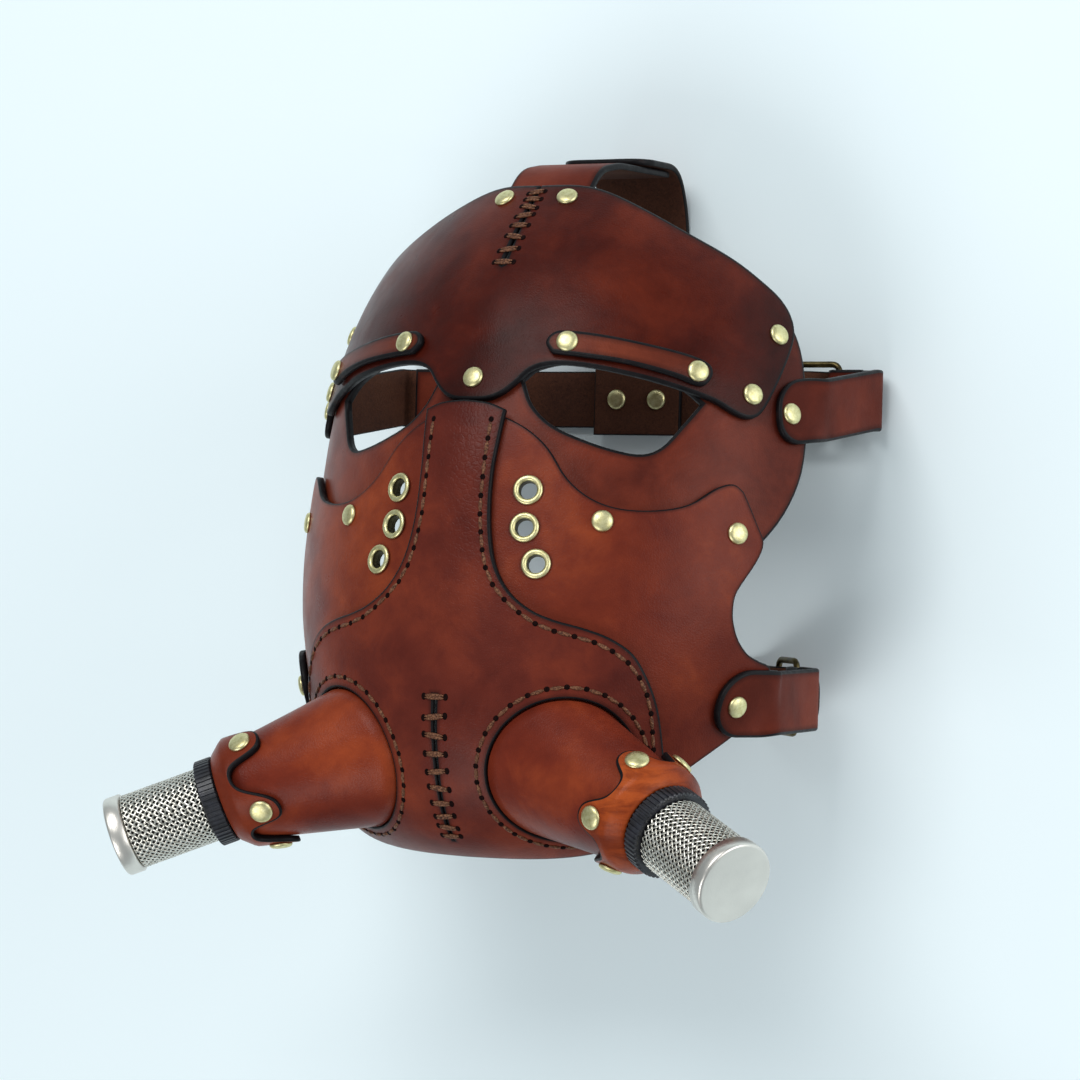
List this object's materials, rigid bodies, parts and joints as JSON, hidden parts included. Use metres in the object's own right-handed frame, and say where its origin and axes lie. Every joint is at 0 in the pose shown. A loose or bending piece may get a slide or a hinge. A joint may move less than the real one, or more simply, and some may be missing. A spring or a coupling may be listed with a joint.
{
  "type": "leather half mask",
  "caption": "Steampunk leather face mask with brass rivets, angled canister filters on leather snouts, head straps and wire buckles, lying on its back.",
  "frame": {"origin": "middle of the bounding box's bottom, on the table under the lying mask", "axes": "+X to the wearer's left, +Y towards the top of the head, +Z the way the face looks, up from the table"},
  "size_m": [0.2756, 0.284, 0.1924],
  "materials": {
    "leather": "satin",
    "tan_leather": "satin",
    "strap_leather": "satin",
    "brass": "polished",
    "antique_brass": "aged",
    "black_plastic": "moulded",
    "steel_mesh": "woven",
    "aluminium": "turned"
  },
  "bodies": {
    "root": {"face_panel": "leather", "forehead_panel": "leather", "brow_strip_left": "leather", "brow_strip_right": "leather", "cheek_panel_left": "leather", "eyelet_left_1": "brass", "eyelet_left_2": "brass", "eyelet_left_3": "brass", "cheek_panel_right": "leather", "eyelet_right_1": "brass", "eyelet_right_2": "brass", "eyelet_right_3": "brass", "muzzle_panel": "leather", "snout_left": "leather", "snout_collar_left": "tan_leather", "filter_ring_left": "black_plastic", "filter_mesh_left": "steel_mesh", "filter_cap_left": "aluminium", "snout_right": "leather", "snout_collar_right": "tan_leather", "filter_ring_right": "black_plastic", "filter_mesh_right": "steel_mesh", "filter_cap_right": "aluminium", "upper_strap_left": "strap_leather", "lower_strap_left": "strap_leather", "upper_buckle_left": "antique_brass", "lower_buckle_left": "antique_brass", "upper_strap_right": "strap_leather", "lower_strap_right": "strap_leather", "upper_buckle_right": "antique_brass", "lower_buckle_right": "antique_brass", "upper_rear_strap": "strap_leather", "lower_rear_strap": "strap_leather", "crown_strap_front": "strap_leather", "crown_strap_rear": "strap_leather", "nose_rivet": "brass", "forehead_top_rivet_left": "brass", "forehead_top_rivet_right": "brass", "forehead_side_rivet_left": "brass", "forehead_side_rivet_right": "brass", "forehead_lobe_rivet_left": "brass", "forehead_lobe_rivet_right": "brass", "brow_inner_rivet_left": "brass", "brow_inner_rivet_right": "brass", "brow_outer_rivet_left": "brass", "brow_outer_rivet_right": "brass", "cheek_front_rivet_left": "brass", "cheek_front_rivet_right": "brass", "cheek_rear_rivet_left": "brass", "cheek_rear_rivet_right": "brass", "upper_strap_rivet_left": "brass", "upper_strap_rivet_right": "brass", "lower_strap_rivet_left": "brass", "lower_strap_rivet_right": "brass", "crown_rear_rivet_left": "brass", "crown_rear_rivet_right": "brass"}
  },
  "joints": []
}
